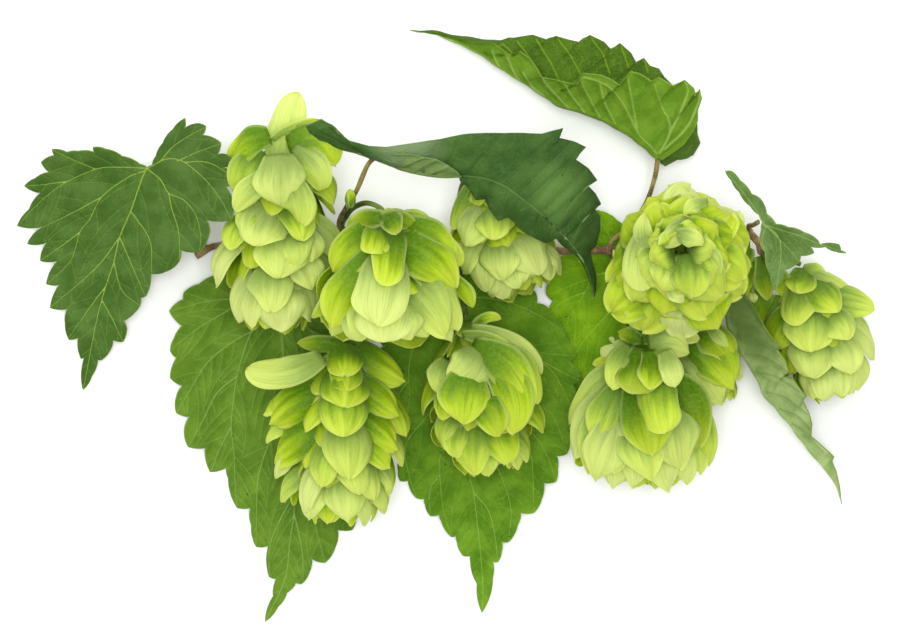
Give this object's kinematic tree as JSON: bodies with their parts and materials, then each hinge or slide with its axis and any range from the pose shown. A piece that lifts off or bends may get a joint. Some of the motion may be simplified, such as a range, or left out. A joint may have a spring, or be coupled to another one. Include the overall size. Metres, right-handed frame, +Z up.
{
  "type": "hop bine sprig",
  "caption": "Cut sprig of a hop bine lying on its side: a thin woody shoot with toothed, veined leaves and hanging cones of papery green bracts.",
  "frame": {"origin": "on the table, under the middle of the sprig's box", "axes": "+X along the sprig, from the left leaf to the far cone; +Y across it, away from the hanging cones' tips; +Z up from the table, towards the camera of the picture"},
  "size_m": [0.2136, 0.1481, 0.0552],
  "materials": {
    "dark_leaf": "matte dark green leaf face with fine yellow-green veins",
    "mid_leaf": "matte mid-green leaf with pale raised veins",
    "bract": "thin translucent yellow-green bracts with fine lengthwise veins and pale edges",
    "bine": "rough brown bark with short hairs",
    "stalk": "fine-haired olive green stalk"
  },
  "bodies": {
    "root": {"bine_1": "bine", "bine_2": "bine", "bine_3": "bine", "bine_4": "bine", "bine_5": "bine", "bine_tip": "bine", "bud": "stalk", "cone_behind": "bract", "cone_behind_stalk": "stalk", "cone_bell": "bract", "cone_bell_stalk": "stalk", "cone_broad": "bract", "cone_broad_stalk": "stalk", "cone_facing": "bract", "cone_facing_stalk": "stalk", "cone_far": "bract", "cone_far_stalk": "stalk", "cone_low_left": "bract", "cone_low_left_stalk": "stalk", "cone_low_middle": "bract", "cone_low_middle_stalk": "stalk", "cone_tall": "bract", "cone_tall_stalk": "stalk", "cone_under_leaf": "bract", "cone_under_leaf_stalk": "stalk", "leaf_behind": "mid_leaf", "leaf_behind_stalk": "bine", "leaf_left": "dark_leaf", "leaf_left_stalk": "bine", "leaf_low_left": "mid_leaf", "leaf_low_left_stalk": "bine", "leaf_low_middle": "mid_leaf", "leaf_low_middle_stalk": "bine", "leaf_narrow": "dark_leaf", "leaf_narrow_stalk": "bine", "leaf_small": "dark_leaf", "leaf_small_stalk": "bine", "leaf_top": "mid_leaf", "leaf_top_stalk": "bine", "leaf_twisted": "dark_leaf", "leaf_twisted_stalk": "bine", "young_shoot": "stalk"}
  },
  "joints": []
}
